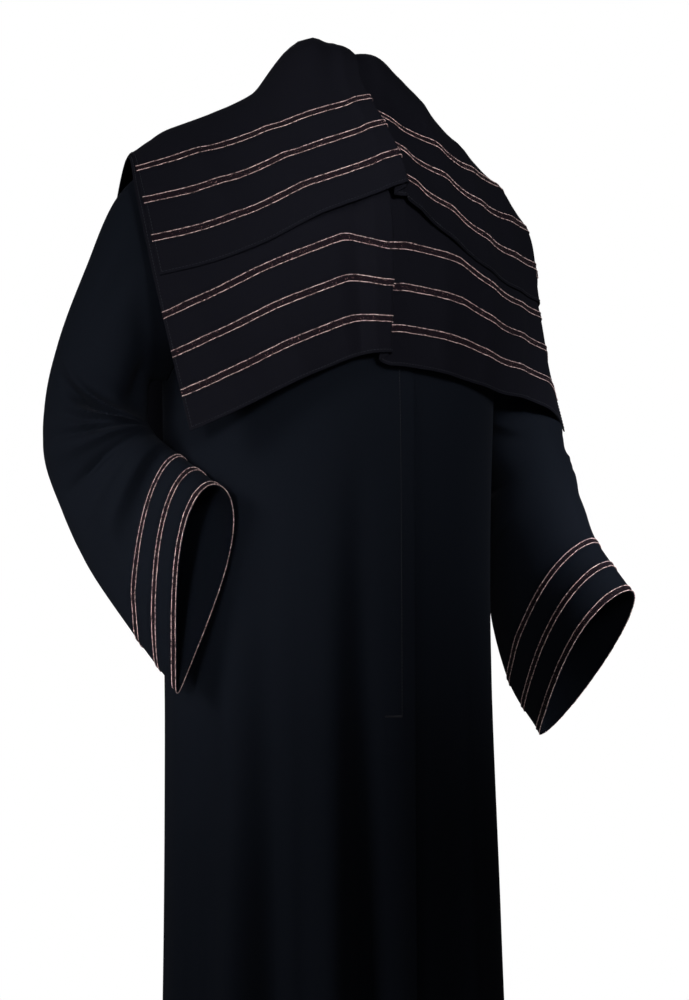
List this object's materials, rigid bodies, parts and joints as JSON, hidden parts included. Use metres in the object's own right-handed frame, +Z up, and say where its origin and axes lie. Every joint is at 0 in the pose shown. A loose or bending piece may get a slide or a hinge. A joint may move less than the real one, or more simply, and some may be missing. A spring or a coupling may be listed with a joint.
{
  "type": "abaya with shayla",
  "caption": "Full-length front-lapping robe with wide sleeves, and a long scarf doubled over the neck and shoulders, both with striped braid trims.",
  "frame": {"origin": "base of the wearer's neck on the centre plane, at the level where the garment rests on the shoulders", "axes": "+X to the wearer's left, -Y to the front, +Z up"},
  "size_m": [0.7455, 0.3427, 1.4369],
  "materials": {
    "black_crepe": "matte crepe with a faint sheen",
    "pink_braid": "matte twisted cords over a flecked dark tape"
  },
  "bodies": {
    "root": {"back": "black_crepe", "front_right": "black_crepe", "front_left": "black_crepe", "sleeve_right": "black_crepe", "sleeve_left": "black_crepe", "shayla_upper": "black_crepe", "shayla_lower": "black_crepe", "sleeve_right_trim_1": "pink_braid", "sleeve_right_trim_2": "pink_braid", "sleeve_right_trim_3": "pink_braid", "sleeve_left_trim_1": "pink_braid", "sleeve_left_trim_2": "pink_braid", "sleeve_left_trim_3": "pink_braid", "shayla_upper_trim_1": "pink_braid", "shayla_upper_trim_2": "pink_braid", "shayla_upper_trim_3": "pink_braid", "shayla_lower_trim_1": "pink_braid", "shayla_lower_trim_2": "pink_braid", "shayla_lower_trim_3": "pink_braid"}
  },
  "joints": []
}
